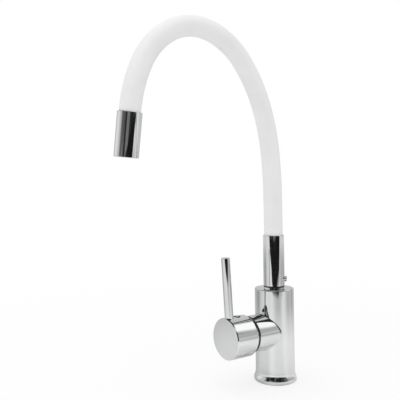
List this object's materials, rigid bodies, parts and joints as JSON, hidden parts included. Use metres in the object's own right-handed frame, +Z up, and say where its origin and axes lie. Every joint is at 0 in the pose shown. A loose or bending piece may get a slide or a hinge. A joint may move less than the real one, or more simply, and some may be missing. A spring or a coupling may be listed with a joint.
{
  "type": "kitchen faucet",
  "caption": "Deck-mounted single-lever kitchen faucet with a side lever drum, a swivelling socket and a white bendable gooseneck ending in a nozzle.",
  "frame": {"origin": "centre of the foot ring on the sink surface", "axes": "+Z up along the body, -Y towards the handle and, at rest, the spout; +X to the right seen from the handle side"},
  "size_m": [0.05, 0.2259, 0.4106],
  "materials": {
    "chrome": "polished chrome plating on brass",
    "drum_chrome": "polished chrome with a satin turned end face",
    "white_silicone": "smooth matte white silicone",
    "steel": "plain stainless steel",
    "water_tube": "translucent cross-linked polyethylene",
    "brass": "machined brass",
    "grey_plastic": "moulded acetal",
    "black_plastic": "black moulded acetal",
    "black_rubber": "matte rubber",
    "ceramic": "lapped alumina"
  },
  "bodies": {
    "body": {"body_casting": "chrome", "base_ring": "chrome", "base_gasket": "black_rubber", "swivel_nipple": "chrome", "nipple_o_rings": "black_rubber", "glide_ring": "black_plastic", "cartridge_base": "grey_plastic", "cartridge_port_seals": "black_rubber", "fixed_ceramic_disc": "ceramic", "cartridge_housing": "grey_plastic", "cartridge_nut": "brass", "dome_cap": "black_plastic"},
    "rotor": {"cartridge_rotor": "grey_plastic", "pivot_pin": "steel"},
    "handle": {"handle_drum": "drum_chrome", "lever_pin": "chrome", "index_plug": "chrome", "handle_set_screw": "steel", "cartridge_stem": "steel"},
    "mixing_disc": {"disc_carrier": "grey_plastic", "moving_ceramic_disc": "ceramic"},
    "spout": {"spout_socket": "chrome", "socket_screw": "chrome", "hose_connector_lower": "brass", "neck_sleeve_1": "white_silicone", "neck_core_1": "steel", "neck_tube_1": "water_tube"},
    "neck_2": {"neck_sleeve_2": "white_silicone", "neck_core_2": "steel", "neck_tube_2": "water_tube"},
    "neck_3": {"neck_sleeve_3": "white_silicone", "neck_core_3": "steel", "neck_tube_3": "water_tube"},
    "neck_4": {"neck_sleeve_4": "white_silicone", "neck_core_4": "steel", "neck_tube_4": "water_tube"},
    "neck_5": {"neck_sleeve_5": "white_silicone", "neck_core_5": "steel", "neck_tube_5": "water_tube"},
    "neck_6": {"neck_sleeve_6": "white_silicone", "neck_core_6": "steel", "neck_tube_6": "water_tube"},
    "neck_7": {"neck_sleeve_7": "white_silicone", "neck_core_7": "steel", "neck_tube_7": "water_tube"},
    "neck_8": {"neck_sleeve_8": "white_silicone", "neck_core_8": "steel", "neck_tube_8": "water_tube", "hose_connector_upper": "brass", "nozzle_shell": "chrome", "aerator_washer": "black_rubber", "aerator_housing": "chrome", "aerator_insert": "grey_plastic", "aerator_screen": "steel"}
  },
  "joints": [
    {"name": "handle_temperature", "type": "hinge", "parent": "body", "child": "rotor", "pos_m": [0, -0.0311, 0.0592], "axis": [0, -1, 0], "range_deg": [-45, 45]},
    {"name": "handle_flow", "type": "hinge", "parent": "rotor", "child": "handle", "pos_m": [0, -0.0311, 0.0592], "axis": [1, 0, 0], "range_deg": [0, 22]},
    {"name": "disc_slide", "type": "slide", "parent": "rotor", "child": "mixing_disc", "axis": [0, 0, 1], "range_m": [0, 0.0033]},
    {"name": "spout_swivel", "type": "hinge", "parent": "body", "child": "spout", "pos_m": [0, 0, 0.11125], "axis": [0, 0, 1], "continuous": true},
    {"name": "neck_bend_1", "type": "hinge", "parent": "spout", "child": "neck_2", "pos_m": [0, -0.00046, 0.22345], "axis": [1, 0, 0], "range_deg": [-16, 12]},
    {"name": "neck_bend_2", "type": "hinge", "parent": "neck_2", "child": "neck_3", "pos_m": [0, -0.00457, 0.27565], "axis": [1, 0, 0], "range_deg": [-16, 12]},
    {"name": "neck_bend_3", "type": "hinge", "parent": "neck_3", "child": "neck_4", "pos_m": [0, -0.01809, 0.32614], "axis": [1, 0, 0], "range_deg": [-16, 12]},
    {"name": "neck_bend_4", "type": "hinge", "parent": "neck_4", "child": "neck_5", "pos_m": [0, -0.04516, 0.37074], "axis": [1, 0, 0], "range_deg": [-27.4, 2.9]},
    {"name": "neck_bend_5", "type": "hinge", "parent": "neck_5", "child": "neck_6", "pos_m": [0, -0.08911, 0.39768], "axis": [1, 0, 0], "range_deg": [-40, 4]},
    {"name": "neck_bend_6", "type": "hinge", "parent": "neck_6", "child": "neck_7", "pos_m": [0, -0.13967, 0.39012], "axis": [1, 0, 0], "range_deg": [-39.1, 4]},
    {"name": "neck_bend_7", "type": "hinge", "parent": "neck_7", "child": "neck_8", "pos_m": [0, -0.17455, 0.35205], "axis": [1, 0, 0], "range_deg": [-29.6, 3.1]}
  ],
  "couplings": [
    {"joint": "disc_slide", "follows": "handle_flow", "m_per_rad": 0.008341},
    {"joint": "neck_bend_2", "follows": "neck_bend_1", "ratio": 1},
    {"joint": "neck_bend_3", "follows": "neck_bend_1", "ratio": 1},
    {"joint": "neck_bend_4", "follows": "neck_bend_5", "ratio": 0.6813},
    {"joint": "neck_bend_6", "follows": "neck_bend_5", "ratio": 0.975},
    {"joint": "neck_bend_7", "follows": "neck_bend_5", "ratio": 0.7375}
  ]
}
